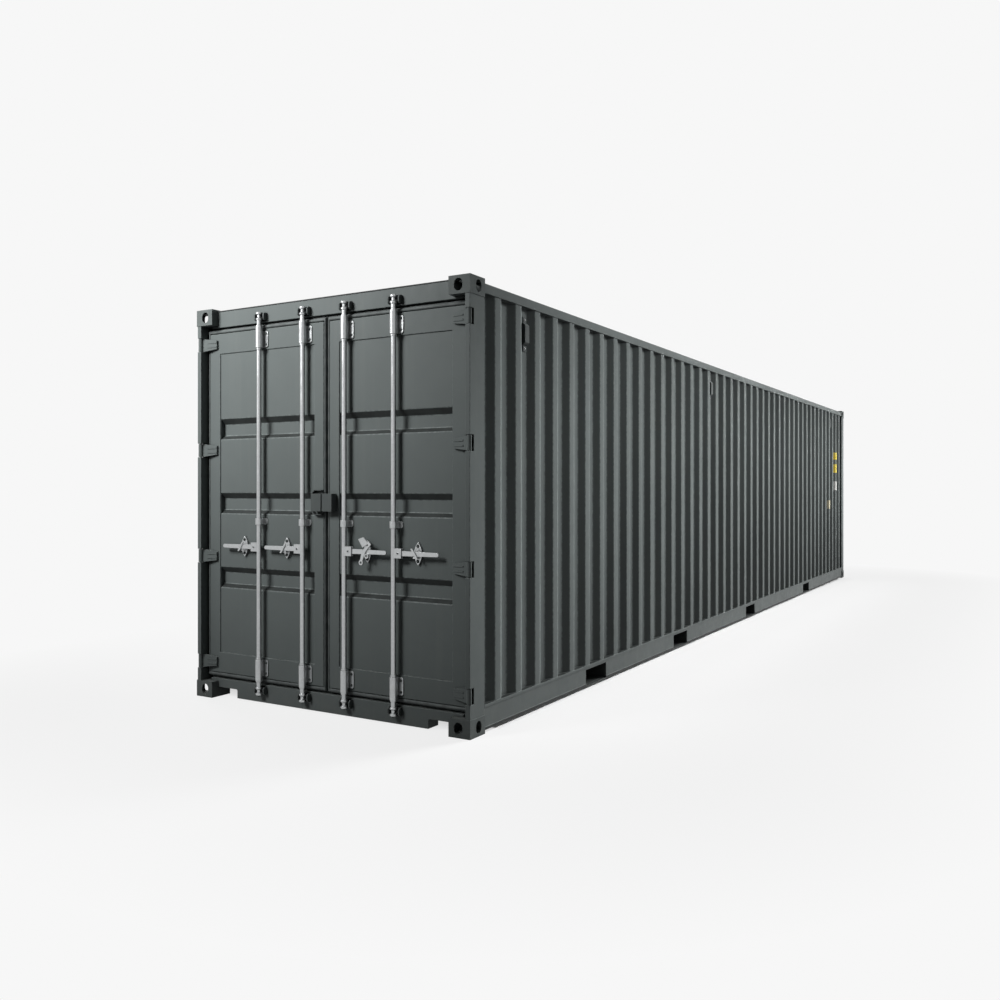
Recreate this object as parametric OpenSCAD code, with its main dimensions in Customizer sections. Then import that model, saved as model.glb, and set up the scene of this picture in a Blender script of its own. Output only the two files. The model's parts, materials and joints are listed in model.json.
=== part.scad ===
// Forty-foot high-cube dry freight container with two cargo doors.
// Millimetres. The doors face -Y, the length runs along Y and the ground is z = 0.
// Right-hand pieces (+X) are drawn, and left-hand pieces are their mirror images.
// At a corner, u runs inward from the side face and v runs inward from the end face.

/* [Overall] */
// Length over the corner castings
length = 12192; // [11600:1:13716]
// Width over the corner castings
width = 2438; // [2300:1:2600]
// Height over the corner castings
height = 2896; // [2600:1:3000]

/* [Corner castings] */
// Casting length along the container
casting_l = 178; // [174:1:190]
// Casting width across the container
casting_w = 162; // [155:1:175]
// Casting height
casting_h = 118; // [110:1:128]
// Thickness of the face with the vertical aperture
casting_face = 28.5; // [20:0.5:32]
// Thickness of the other casting walls
casting_wall = 10; // [8:1:13]
// Length of the vertical aperture
slot_l = 124; // [110:1:126]
// Width of every aperture
slot_w = 63.5; // [55:0.5:66]
// Height of the end and side apertures
eye_h = 79.5; // [70:0.5:84]
// Aperture centre from the side face
slot_u = 89; // [80:1:92]
// Aperture centre from the end face
slot_v = 101.5; // [98:0.5:104]
// Depth of the end and side apertures
eye_d = 30; // [20:1:32]

/* [Frame] */
// How far plates and rails sit inside the casting faces
setback = 4; // [2:1:6]
// Thickness of the frame plates
plate = 6; // [4:0.5:8]
// Width of a door post's front flange
post_face = 36; // [34:1:40]
// Door end to the jamb face behind the doors
jamb_v = 122; // [120:1:130]
// Width of a door post's jamb box
jamb_w = 85; // [80:1:95]
// Width of a front post's end face
front_post_w = 106; // [90:1:130]
// Depth of a front post's end flange
front_post_d = 52; // [40:1:70]
// Size of the top side rail's tube
top_rail = 60; // [50:1:70]
// Wall of the top side rail's tube
tube_wall = 4; // [3:0.5:6]
// Casting top to the top side rail
top_rail_drop = 30; // [26:1:36]
// Ground to the underside of the bottom side rail
base_z = 20; // [14:1:26]
// Height of the bottom side rail
bottom_rail_h = 162; // [150:1:175]
// Top flange of the bottom side rail
rail_top_flange = 48; // [46:1:56]
// Bottom flange of the bottom side rail
rail_bottom_flange = 30; // [20:1:40]
// Height of the raised strips along the bottom side rail
rail_strip_h = 20; // [12:1:26]
// How far the strips stand out from the rail's web
rail_strip = 4; // [2:0.5:6]
// Depth of the header and sill faces behind the door end
end_recess = 62; // [60:1:66]
// Casting top to the top of the headers
header_drop = 10; // [6:1:30]
// Height of the header's face
header_h = 123; // [100:1:135]
// Height of the stop lip behind the doors' top edge
stop_h = 81; // [70:1:100]
// Ground to the underside of the sills
sill_z = 8; // [4:1:20]
// Height of the sill's face above its underside
sill_h = 129; // [110:1:140]
// Length of the cut-out under each end of the sill
sill_notch_l = 197; // [150:1:260]
// Height of the cut-out under each end of the sill
sill_notch_h = 64; // [50:1:80]
// Corner radius of the cut-out under the sill
sill_notch_r = 10; // [4:1:20]
// Depth of the front header and front sill
front_beam_d = 60; // [50:1:80]

/* [Corrugated walls] */
// Thickness of the wall and roof sheets
sheet = 2; // [1.6:0.1:4]
// Side face to the outermost wall surface
wall_u = 10; // [6:1:12]
// Depth of the wall corrugation
ridge_depth = 36; // [28:1:40]
// Flat top of a ridge
ridge_flat = 72; // [50:1:90]
// Sloping side of a ridge, measured along the wall
ridge_slope = 68; // [40:1:75]
// Flat strip at each end of a side wall
wall_end_flat = 74; // [60:1:120]
// Ridges on a side wall
side_ridges = 43; // [36:1:43]
// Ridges on the front wall
front_ridges = 8; // [6:1:8]
// Flat strip at each side of the front wall
front_end_flat = 46; // [30:1:60]

/* [Roof] */
// Height of the stamped roof ribs
rib_h = 20; // [10:1:22]
// Flat top of a roof rib
rib_flat = 74; // [50:1:90]
// Sloping side of a roof rib
rib_slope = 24; // [15:1:32]
// Roof ribs
roof_ribs = 52; // [40:1:56]
// Plain border of the roof at each end
roof_border_l = 110; // [60:1:160]
// Plain border of the roof at each side
roof_border_w = 95; // [70:1:150]

/* [Floor] */
// Thickness of the plywood floor
floor_t = 28; // [21:1:30]
// Boards across the floor
floor_rows = 2; // [1:1:4]
// Boards along the floor
floor_boards_n = 5; // [3:1:8]
// Joint between two boards
board_gap = 3; // [2:0.5:6]
// Flange of a crossmember
cross_flange = 45; // [35:1:60]
// Thickness of a crossmember
cross_t = 4.5; // [3:0.5:6]
// Crossmember places along the floor
cross_n = 38; // [28:1:44]

/* [Fork pockets] */
// Clear width of a fork pocket
pocket_w = 380; // [340:1:420]
// Door end to the first pocket's centre
pocket_v1 = 1880; // [1400:1:2200]
// Door end to the second pocket's centre
pocket_v2 = 3840; // [3200:1:4400]
// Door end to the third pocket's centre
pocket_v3 = 6310; // [5600:1:7000]
// Door end to the fourth pocket's centre
pocket_v4 = 9290; // [8400:1:9900]
// Length of the plate under each end of a pocket
pocket_strap = 300; // [150:1:400]

/* [Vents] */
// Width of a vent hood
vent_w = 60; // [50:1:68]
// Height of a vent hood
vent_h = 150; // [100:1:200]
// Depth of a vent hood
vent_d = 28; // [15:1:34]
// Height of a vent's fixing tab
vent_tab = 46; // [20:1:54]
// Width of a vent's fixing tab
vent_tab_w = 40; // [24:1:50]
// Thickness of a vent's fixing tab
vent_tab_t = 5; // [3:1:8]
// Casting top to the middle of the vents
vent_drop = 268; // [220:1:400]

/* [Doors] */
// Door end to the outer face of the door frames
door_v = 66; // [64:1:70]
// Thickness of a door frame
door_t = 50; // [46:1:50]
// Gap between a door and what it closes against
door_gap = 8; // [6:1:12]
// Half the gap between the two gaskets
centre_gap = 5; // [5:1:8]
// Width of the gasket over and under a door
gasket_h = 38; // [30:1:56]
// Width of the gasket at the hinge side and the middle
gasket_w = 23; // [16:1:26]
// Depth of a gasket
gasket_t = 36; // [25:1:40]
// Width of the raised middle of a gasket
gasket_bead = 13; // [8:1:14]
// How far the raised middle of a gasket stands out
gasket_bead_h = 6; // [3:1:8]
// Clearance between a gasket and the hinge post
gasket_gap = 9; // [7:1:12]
// Width of the stile at the hinge side
outer_stile = 104; // [80:1:130]
// Width of the stile at the middle
inner_stile = 84; // [70:1:110]
// Height of the top and bottom rails of a door
door_rail = 150; // [110:1:175]
// How far the panel sits behind the frame
panel_recess = 8; // [4:1:10]
// Bands pressed into a door panel
bands = 3; // [2:1:4]
// Distance between two bands
band_pitch = 553; // [450:1:600]
// Height of a band's flat bottom
band_flat = 82; // [60:1:100]
// Height of a band's upper slope
band_upper = 45; // [30:1:55]
// Height of a band's lower slope
band_lower = 30; // [20:1:45]
// Depth of a band
band_depth = 36; // [25:1:38]

/* [Hinges] */
// Hinges on a door
hinges = 4; // [3:1:5]
// Hinge pin centre from the side and end faces
pin_uv = 20; // [19:1:22]
// Hinge pin radius
pin_r = 8; // [6:0.5:10]
// Running clearance round pins and rods
running_gap = 0.3; // [0.2:0.05:0.6]
// Outer radius of a hinge knuckle
knuckle_r = 16; // [14:0.5:17]
// Height of a hinge knuckle
knuckle_h = 96; // [80:1:120]
// Height of the tip of a hinge blade
blade_tip_h = 64; // [50:1:80]
// Side face to the tip of a hinge blade
blade_u = 158; // [130:1:185]
// Thickness of the tip of a hinge blade
blade_tip_t = 16; // [10:1:20]
// Overlap of a hinge blade and its knuckle
blade_overlap = 3; // [2:0.5:5]
// Length of the shoulder where a blade leaves its knuckle
blade_shoulder = 12; // [8:1:18]
// Knuckle centre to the front of the shoulder
blade_step = 4; // [2:1:8]
// Depth of the hollow behind a blade's shoulder
blade_heel = 14; // [8:1:20]
// Height of a rib on a hinge blade
blade_rib_h = 10; // [6:1:14]
// How far the ribs stand out from a blade
blade_rib = 4; // [2:0.5:6]
// Hinge centre to the middle of a rib
blade_rib_z = 16; // [12:1:18]
// Clearance over and under a knuckle in the post
knuckle_gap = 3; // [2:0.5:5]
// Depth of the hinge cut-out in the post's corner
hinge_cut = 50; // [48:1:56]
// Height of a hinge lug inside the post
lug_h = 20; // [12:1:30]
// Door edge to the middle of the first hinge
hinge_inset = 80; // [60:1:120]

/* [Locking gear] */
// Locking rod radius
rod_r = 17; // [14:0.5:18]
// Door end to the rods' axes
rod_v = 28; // [27:1:30]
// Centre line to the inner rods
rod_inner_x = 188; // [170:1:210]
// Centre line to the outer rods
rod_outer_x = 605; // [580:1:640]
// Radius of a cam's end flange
cam_r = 23; // [20:0.5:24]
// Radius of a cam's waist
cam_waist_r = 13; // [10:0.5:15]
// Height of a cam
cam_h = 60; // [50:1:90]
// Height of the flange at each end of a cam
cam_flange = 14; // [8:1:16]
// Height of the slope between a cam's flange and waist
cam_slope = 8; // [4:1:9]
// Chamfer on a cam's flanges
cam_chamfer = 4; // [2:0.5:6]
// Casting top to the top of the upper cams
cam_drop = 64; // [40:1:80]
// Ground to the bottom of the lower cams
cam_z = 68; // [46:1:80]
// Half the clear width of a cam keeper
keeper_half = 37; // [34:1:44]
// Thickness of a keeper's cheeks
keeper_t = 12; // [8:1:16]
// Height of a keeper
keeper_h = 56; // [40:1:70]
// How far a keeper's cheeks stand out
keeper_reach = 38; // [30:1:44]
// Chamfer on a keeper's cheeks
keeper_chamfer = 12; // [6:1:20]
// Thickness of a keeper's back plate
keeper_back = 4; // [3:0.5:5]
// Outer radius of a rod bearing
bearing_r = 26; // [23:0.5:26.5]
// Length of an end bearing
bearing_l = 145; // [120:1:170]
// How far an end bearing reaches past the door's edge
bearing_reach = 3; // [0:1:10]
// Length of the tapered neck of an end bearing
neck_l = 18; // [10:1:24]
// Wall of the neck at its end
neck_wall = 3; // [2:0.5:5]
// Width of the web between a bearing and its base plate
bearing_web = 24; // [16:1:34]
// Width of an end bearing's base plate
bearing_base_w = 112; // [90:1:140]
// Height of an end bearing's base plate
bearing_base_h = 118; // [80:1:136]
// Door's edge to an end bearing's base plate
bearing_inset = 18; // [8:1:24]
// Corner radius of the base plates
base_corner = 14; // [6:1:16]
// Width of a rod guide's base plate
guide_base_w = 90; // [70:1:110]
// Thickness of a bearing's base plate
bearing_base_t = 8; // [5:0.5:10]
// Height of the rod guide in the middle of a rod
guide_h = 45; // [36:1:60]
// Ground to the middle of the rod guides
guide_z = 1322; // [1290:1:1350]
// Radius of the collars on a rod
collar_r = 21; // [19:0.5:24]
// Height of a collar
collar_h = 12; // [8:1:18]
// Clearance between a collar and a bearing
collar_gap = 1.5; // [1:0.5:4]
// Ground to the middle of the handles
handle_z = 1136; // [1110:1:1180]
// Rod axis to the handle's tip
handle_l = 360; // [320:1:390]
// Height of a handle's bar at its pivot
handle_h = 34; // [26:1:38]
// Height of a handle's bar at its tip
handle_tip_h = 26; // [20:1:34]
// Thickness of a handle's bar
handle_t = 10; // [8:0.5:12]
// Rod axis to the handle's pivot
pivot_x = 42; // [40:1:50]
// Radius of the handle's pivot pin
pivot_r = 7; // [5:0.5:9]
// Height of the clevis on a rod
clevis_h = 64; // [50:1:80]
// Length of the clevis from the rod axis
clevis_l = 70; // [62:1:80]
// Thickness of a clevis cheek
clevis_t = 7; // [5:0.5:8]
// How far the pivot pin's head stands out
pivot_head = 3; // [2:0.5:5]
// Rod axis to a handle catch
catch_x = 175; // [150:1:200]
// Height of a handle catch
catch_h = 150; // [120:1:170]
// Width of a handle catch
catch_w = 60; // [44:1:70]
// Thickness of a catch's plate
catch_t = 8; // [6:1:10]
// Width of the ledge under a handle
ledge_w = 40; // [24:1:52]
// Gap between a handle and its ledge
ledge_gap = 5; // [5:0.5:8]
// Radius of the rings on the seal hasp
hasp_ring_r = 17; // [12:0.5:22]

/* [Lock box] */
// Centre line to the side of the lock box
lock_w = 92; // [70:1:105]
// Height of the lock box
lock_h = 122; // [90:1:150]
// Ground to the middle of the lock box
lock_z = 1463; // [1440:1:1490]
// Depth of the lock box
lock_d = 57; // [45:1:60]
// Plate of the lock box
lock_t = 5; // [4:0.5:6]
// Gap between the lock box and the guard round it
guard_border = 26; // [18:1:40]
// How far the guard stands out from the door
guard_d = 30; // [20:1:45]

/* [Hidden] */
$fn = 64;
half_w = width / 2;
door_y = -length / 2;
cut = 1;                                  // cutters overshoot by this much
hair = 0.001;                             // and by this much under the roof ribs
ear = 16;                                 // small chamfers on plates

inner_w = half_w - setback - rail_strip - plate;     // inner face of the bottom rails' webs
floor_top = base_z + bottom_rail_h;
cross_z = base_z + plate;                 // crossmembers stand on the rail's bottom flange
cross_h = bottom_rail_h - plate - floor_t;
pocket_centres = [pocket_v1, pocket_v2, pocket_v3, pocket_v4];
pocket_top = cross_z + cross_h - plate;

header_top = height - header_drop;
header_z = header_top - header_h;
sill_top = sill_z + sill_h;
post_top = height - casting_h;
rail_top_z = height - top_rail_drop;      // top of the top side rail
rail_under_z = rail_top_z - top_rail;     // underside of the top side rail
beam_half = half_w - casting_w;           // end beams reach to the castings
jamb_x = half_w - setback - jamb_w;       // inner face of the door posts
post_x = half_w - setback - post_face;    // side of the post that faces a door's edge
front_post_x = half_w - setback - front_post_w;       // inner face of the front posts

// A corrugation's path along a wall of length l, as [distance, depth] points
function ridge_pitch(l, n, end) = (l - 2 * end - 2 * ridge_slope - ridge_flat) / (n - 1);
function ridge_path(l, n, end, depth) = concat(
    [[0, depth]],
    [for (i = [0 : n - 1]) let (s = end + i * ridge_pitch(l, n, end))
        each [[s, depth], [s + ridge_slope, 0],
              [s + ridge_slope + ridge_flat, 0], [s + 2 * ridge_slope + ridge_flat, depth]]],
    [[l, depth]]);
function sheet_outline(path, t) = concat(
    path, [for (i = [len(path) - 1 : -1 : 0]) path[i] + [0, t]]);
side_l = length - 2 * casting_l;
side_pitch = ridge_pitch(side_l, side_ridges, wall_end_flat);
valley_1 = casting_l + wall_end_flat + 2 * ridge_slope + ridge_flat;
valley_flat = side_pitch - ridge_flat - 2 * ridge_slope;
vent_valleys = [2, 17, side_ridges - 3];

// The right-hand door leaf, inside its gasket
leaf_x0 = centre_gap + gasket_w;
leaf_x1 = post_x - gasket_gap - gasket_w;
leaf_z0 = sill_top + door_gap + gasket_h;
leaf_z1 = header_z - door_gap - gasket_h;
panel_x0 = leaf_x0 + inner_stile;
panel_x1 = leaf_x1 - outer_stile;
panel_z0 = leaf_z0 + door_rail;
panel_z1 = leaf_z1 - door_rail;
panel_mid = (panel_z0 + panel_z1) / 2;
band_h = band_flat + band_upper + band_lower;

hinge_pitch = (leaf_z1 - leaf_z0 - 2 * hinge_inset) / (hinges - 1);
hinge_zs = [for (i = [0 : hinges - 1]) leaf_z0 + hinge_inset + i * hinge_pitch];
hinge_cut_h = knuckle_h + 2 * knuckle_gap;

rod_xs = [rod_inner_x, rod_outer_x];
rod_y = door_y + rod_v;
upper_cam_z = height - cam_drop - cam_h;
lower_cam_top = cam_z + cam_h;
bearing_end = bearing_reach - bearing_l;  // inner end of an end bearing, from the door's edge
bore_r = rod_r + running_gap;
clevis_half_gap = handle_t / 2 + running_gap;
handle_front = -handle_t / 2 - catch_t;   // front of the link on a handle, from the rod's axis
// Outlines of the seal hasp's cap, bent arm and ring centres, from the middle of its catch
hasp_cap = [[-43, 84], [2, 99], [44, 56], [-7, 30]];
hasp_arm = [[45, 73], [65, 51], [20, 5], [7, -25], [-8, -62],
    [-28, -60], [-16, -15], [2, 18], [43, 46], [30, 62]];
hasp_rings = [[-21, -72], [26, -27]];

paint = "#555b5b";
dark_paint = "#3f4444";
zinc = "#a9adae";
rubber = "#3a3c3c";
plywood = "#8b6a48";

// Placing
module left() { mirror([1, 0, 0]) children(); }
module both_sides() { children(); left() children(); }
module both_ends() { children(); mirror([0, 1, 0]) children(); }
module door_corner() { translate([half_w, door_y, 0]) mirror([1, 0, 0]) children(); }
module front_corner() { translate([half_w, -door_y, 0]) rotate(180) children(); }
// A profile drawn as [y, z] and run along X between x0 and x1
module along_x(x0, x1) { translate([x0, 0, 0]) rotate([90, 0, 90]) linear_extrude(x1 - x0) children(); }
// A profile drawn as [x, z] and run along Y between y0 and y1
module along_y(y0, y1) { translate([0, y1, 0]) rotate([90, 0, 0]) linear_extrude(y1 - y0) children(); }
module block(a, b) { translate(a) cube(b - a); }

// Corner castings
module slot(l) {
    square([slot_w, l - slot_w], center = true);
    for (s = [-1, 1]) translate([0, s * (l - slot_w) / 2]) circle(d = slot_w);
}

module casting() {
    difference() {
        cube([casting_w, casting_l, casting_h]);
        block([casting_wall, casting_wall, casting_face],
              [casting_w - casting_wall, casting_l - casting_wall, casting_h - casting_wall]);
        translate([slot_u, slot_v, -cut]) linear_extrude(casting_face + 2 * cut) slot(slot_l);
        translate([slot_u, eye_d, casting_h / 2])
            rotate([90, 0, 0]) linear_extrude(eye_d + cut) slot(eye_h);
        translate([-cut, slot_v, casting_h / 2])
            rotate([90, 0, 90]) linear_extrude(eye_d + cut) slot(eye_h);
    }
}

module bottom_castings() { color(paint) both_ends() both_sides() door_corner() casting(); }

module top_castings() {
    color(paint) both_ends() both_sides() door_corner()
        translate([0, 0, height]) mirror([0, 0, 1]) casting();
}

// Posts
module door_post_section() {
    difference() {
        union() {
            translate([setback, setback]) square([post_face, jamb_v - setback + plate]);
            translate([setback, jamb_v]) square([jamb_w, casting_l - jamb_v]);
        }
        translate([setback + plate, setback + plate])
            square([post_face - 2 * plate, jamb_v - setback - plate]);
        translate([setback + plate, jamb_v + plate])
            square([jamb_w - 2 * plate, casting_l - jamb_v - 2 * plate]);
    }
}

module door_post() {
    color(paint) door_corner() difference() {
        translate([0, 0, casting_h]) linear_extrude(post_top - casting_h) door_post_section();
        for (z = hinge_zs) {
            block([0, 0, z - hinge_cut_h / 2],
                  [setback + post_face - plate, hinge_cut, z + hinge_cut_h / 2]);
            block([setback + post_face - plate - cut, 0, z - hinge_cut_h / 2],
                  [setback + post_face + cut, door_v + door_gap, z + hinge_cut_h / 2]);
        }
    }
}

module front_post_section() {
    difference() {
        union() {
            translate([setback, setback]) square([front_post_w, front_post_d]);
            translate([setback, setback]) square([front_post_d, casting_l - setback]);
        }
        translate([setback + plate, setback + plate])
            square([front_post_w - 2 * plate, front_post_d - 2 * plate]);
        translate([setback + plate, setback + plate])
            square([front_post_d - 2 * plate, casting_l - setback - 2 * plate]);
    }
}

module front_posts() {
    color(paint) both_sides() front_corner()
        translate([0, 0, casting_h]) linear_extrude(post_top - casting_h) front_post_section();
}

// End beams
module door_header() {
    lip_v = jamb_v;
    color(paint) difference() {
        union() {
            block([-beam_half, door_y + end_recess, header_z],
                  [beam_half, door_y + casting_l, header_top]);
            block([-jamb_x, door_y + end_recess, header_z],
                  [jamb_x, door_y + casting_l, post_top]);
            block([-jamb_x, door_y + lip_v, header_z - stop_h],
                  [jamb_x, door_y + casting_l, post_top]);
        }
        block([-half_w, door_y + end_recess + plate, post_top],
              [half_w, door_y + casting_l - plate, header_top - plate]);
        block([-beam_half + plate, door_y + lip_v + plate, header_z - stop_h + plate],
              [beam_half - plate, door_y + casting_l - plate, post_top + cut]);
    }
}

module sill_notch() {
    top = sill_z + sill_notch_h;
    square([sill_notch_l + cut, top - sill_notch_r]);
    translate([sill_notch_r, 0]) square([sill_notch_l + cut - sill_notch_r, top]);
    translate([sill_notch_r, top - sill_notch_r]) circle(r = sill_notch_r);
}

module door_sill() {
    inner_half = beam_half - sill_notch_l;
    color(paint) difference() {
        union() {
            block([-beam_half, door_y + end_recess, sill_z], [beam_half, door_y + casting_l, casting_h]);
            block([-jamb_x, door_y + end_recess, casting_h], [jamb_x, door_y + casting_l, sill_top]);
            block([-jamb_x, door_y + jamb_v, casting_h], [jamb_x, door_y + casting_l, floor_top]);
        }
        both_sides() along_y(door_y, door_y + casting_l + cut) translate([inner_half, 0]) sill_notch();
        block([-inner_half + plate, door_y + end_recess + plate, 0],
              [inner_half - plate, door_y + casting_l - plate, sill_top - plate]);
        block([-inner_half + plate, door_y + jamb_v + plate, 0],
              [inner_half - plate, door_y + casting_l - plate, floor_top - plate]);
    }
}

module front_header() {
    y1 = -door_y - setback;
    color(paint) difference() {
        union() {
            block([-beam_half, y1 - front_beam_d, header_z], [beam_half, y1, header_top]);
            block([-front_post_x, y1 - front_beam_d, header_z], [front_post_x, y1, post_top]);
            block([-beam_half, -door_y - casting_l, header_top - plate], [beam_half, y1, header_top]);
        }
        block([-half_w, y1 - front_beam_d + plate, header_z + plate],
              [half_w, y1 - plate, header_top - plate]);
    }
}

module front_sill() {
    y1 = -door_y - setback;
    y0 = y1 - front_beam_d;
    color(paint) difference() {
        union() {
            block([-beam_half, y0, sill_z], [beam_half, y1, casting_h]);
            block([-front_post_x, y0, casting_h], [front_post_x, y1, floor_top]);
        }
        block([-beam_half + plate, y0 - cut, sill_z + plate],
              [beam_half - plate, y1 - plate, floor_top - plate]);
    }
}

// Side rails
module top_rail() {
    x0 = half_w - setback - top_rail;
    color(paint) difference() {
        block([x0, -side_l / 2, rail_under_z], [x0 + top_rail, side_l / 2, rail_top_z]);
        block([x0 + tube_wall, -side_l / 2 - cut, rail_under_z + tube_wall],
              [x0 + top_rail - tube_wall, side_l / 2 + cut, rail_top_z - tube_wall]);
    }
}

module bottom_rail_section() {
    translate([inner_w, base_z]) square([plate, bottom_rail_h]);
    translate([half_w - setback - rail_top_flange, floor_top - plate]) square([rail_top_flange, plate]);
    translate([half_w - setback - rail_bottom_flange, base_z]) square([rail_bottom_flange, plate]);
    for (z = [base_z, floor_top - rail_strip_h])
        translate([inner_w, z]) square([plate + rail_strip, rail_strip_h]);
}

module bottom_rail() {
    color(paint) difference() {
        along_y(-side_l / 2, side_l / 2) bottom_rail_section();
        for (v = pocket_centres)
            block([inner_w - cut, door_y + v - pocket_w / 2, cross_z],
                  [half_w, door_y + v + pocket_w / 2, pocket_top]);
    }
}

// Walls and roof
module side_wall() {
    path = ridge_path(side_l, side_ridges, wall_end_flat, ridge_depth);
    color(paint) translate([half_w - wall_u, -side_l / 2, floor_top]) rotate(90)
        linear_extrude(rail_under_z - floor_top) polygon(sheet_outline(path, sheet));
}

module front_wall() {
    l = 2 * front_post_x;
    path = ridge_path(l, front_ridges, front_end_flat, ridge_depth);
    color(paint) translate([l / 2, -door_y - wall_u - sheet, floor_top]) rotate(180)
        linear_extrude(header_z - floor_top) polygon(sheet_outline(path, sheet));
}

// Stamped ribs across the roof, with their tops dropped by a sheet's thickness for the hollow side
module roof_ribs(drop) {
    rib_l = rib_flat + 2 * rib_slope;
    first = -side_l / 2 + roof_border_l;
    pitch = (side_l - 2 * roof_border_l - rib_l) / (roof_ribs - 1);
    half_rib = half_w - roof_border_w;
    z0 = rail_top_z + sheet - drop;
    translate([0, 0, z0]) intersection() {
        along_x(-half_w, half_w) for (i = [0 : roof_ribs - 1]) translate([first + i * pitch, 0])
            polygon([[0, 0], [rib_slope, rib_h], [rib_slope + rib_flat, rib_h], [rib_l, 0]]);
        along_y(-side_l / 2, side_l / 2) polygon([[-half_rib, 0], [half_rib, 0],
            [half_rib - rib_slope, rib_h], [rib_slope - half_rib, rib_h]]);
    }
}

module roof() {
    edge = half_w - setback - plate;
    color(paint) difference() {
        union() {
            block([-edge, -side_l / 2, rail_top_z], [edge, side_l / 2, rail_top_z + sheet]);
            roof_ribs(0);
        }
        roof_ribs(sheet + hair);
    }
}

// Floor
floor_y0 = door_y + casting_l;
floor_y1 = -door_y - setback - front_beam_d;
floor_half = half_w - setback - max(rail_top_flange, front_post_d) - cut;

module floor_boards() {
    dx = 2 * floor_half / floor_rows;
    dy = (floor_y1 - floor_y0) / floor_boards_n;
    color(plywood) for (i = [0 : floor_rows - 1], j = [0 : floor_boards_n - 1])
        translate([i * dx - floor_half, floor_y0 + j * dy, floor_top - floor_t])
            translate([board_gap / 2, board_gap / 2, 0]) cube([dx - board_gap, dy - board_gap, floor_t]);
}

function near_pocket(y) = len([for (v = pocket_centres)
    if (abs(y - door_y - v) < pocket_w / 2 + plate + cross_flange) v]) > 0;

module crossmember_section() {
    square([cross_t, cross_h]);
    square([cross_flange, cross_t]);
    translate([0, cross_h - cross_t]) square([cross_flange, cross_t]);
}

module crossmembers() {
    pitch = (floor_y1 - floor_y0 - cross_flange) / (cross_n + 1);
    color(dark_paint) for (i = [1 : cross_n]) {
        y = floor_y0 + i * pitch;
        if (!near_pocket(y)) along_x(-inner_w, inner_w) translate([y, cross_z]) crossmember_section();
    }
}

module fork_pockets() {
    strap_x1 = half_w - setback - rail_bottom_flange;
    half_l = pocket_w / 2 + plate;
    color(dark_paint) for (v = pocket_centres) translate([0, door_y + v, 0]) {
        along_x(-inner_w, inner_w) translate([0, cross_z]) difference() {
            translate([-half_l, 0]) square([2 * half_l, cross_h]);
            translate([-pocket_w / 2, -cut]) square([pocket_w, cross_h - plate + cut]);
        }
        both_sides() block([strap_x1 - pocket_strap, -half_l, base_z], [strap_x1, half_l, cross_z]);
    }
}

// Vents in the valleys of the side walls
module vent() {
    tab_h = vent_h + 2 * vent_tab;
    along_y(-vent_w / 2, vent_w / 2) polygon([[0, -vent_h / 2], [vent_d - ear, -vent_h / 2],
        [vent_d, ear - vent_h / 2], [vent_d, vent_h / 2 - ear], [vent_d - ear, vent_h / 2],
        [0, vent_h / 2]]);
    block([0, -vent_tab_w / 2, -tab_h / 2], [vent_tab_t, vent_tab_w / 2, tab_h / 2]);
}

module vents() {
    color(dark_paint) both_sides() for (i = vent_valleys)
        translate([half_w - wall_u - ridge_depth,
                   door_y + valley_1 + valley_flat / 2 + (i - 1) * side_pitch, height - vent_drop])
            vent();
}

// Hinges
module hinge_lugs() {
    color(paint) both_sides() door_corner() for (z = hinge_zs) {
        for (s = [-1, 1])
            block([setback + plate, setback + plate, z + s * (hinge_cut_h + lug_h) / 2 - lug_h / 2],
                  [setback + post_face - plate, hinge_cut, z + s * (hinge_cut_h + lug_h) / 2 + lug_h / 2]);
        translate([0, 0, z]) cylinder_at(pin_uv, pin_uv, pin_r, hinge_cut_h + 2 * lug_h);
    }
}

// A forged blade with two ribs from the knuckle to the door's face, tapering towards its tip
blade_root = pin_uv + knuckle_r - blade_overlap;      // where the blade leaves the knuckle, in u and v
blade_bend_u = blade_root + blade_shoulder;
function blade_front(u) = blade_root + (u - blade_bend_u)
    * (door_v - blade_tip_t - blade_root) / (blade_u - blade_bend_u);

module hinge_blade() {
    leaf_u = half_w - leaf_x1;
    intersection() {
        translate([0, 0, -knuckle_h / 2]) linear_extrude(knuckle_h) polygon([[pin_uv, pin_uv],
            [blade_root, pin_uv + blade_step], [blade_bend_u, blade_root], [blade_u, blade_front(blade_u)],
            [blade_u, door_v], [leaf_u, door_v], [blade_root, door_v - blade_heel], [pin_uv, blade_root]]);
        along_y(0, door_v) polygon([[0, -knuckle_h / 2], [blade_root, -knuckle_h / 2],
            [blade_u, -blade_tip_h / 2], [blade_u, blade_tip_h / 2],
            [blade_root, knuckle_h / 2], [0, knuckle_h / 2]]);
    }
    for (s = [-1, 1]) translate([0, 0, s * blade_rib_z - blade_rib_h / 2]) linear_extrude(blade_rib_h)
        polygon([[leaf_u, blade_front(leaf_u)], [leaf_u + blade_rib, blade_front(leaf_u) - blade_rib],
            [blade_u - blade_rib, blade_front(blade_u) - blade_rib], [blade_u, blade_front(blade_u)],
            [blade_u, door_v], [leaf_u, door_v]]);
}

module hinge() {
    difference() {
        union() {
            cylinder_at(pin_uv, pin_uv, knuckle_r, knuckle_h);
            hinge_blade();
        }
        cylinder_at(pin_uv, pin_uv, pin_r + running_gap, knuckle_h + 2 * cut);
    }
}

module cylinder_at(x, y, r, h) { translate([x, y, -h / 2]) cylinder(r = r, h = h); }

module door_hinges() {
    color(dark_paint) door_corner() for (z = hinge_zs) translate([0, 0, z]) hinge();
}

// Doors
module door_frame() {
    color(paint) difference() {
        block([leaf_x0, door_y + door_v, leaf_z0], [leaf_x1, door_y + door_v + door_t, leaf_z1]);
        block([panel_x0, door_y, panel_z0], [panel_x1, 0, panel_z1]);
    }
}

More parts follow.
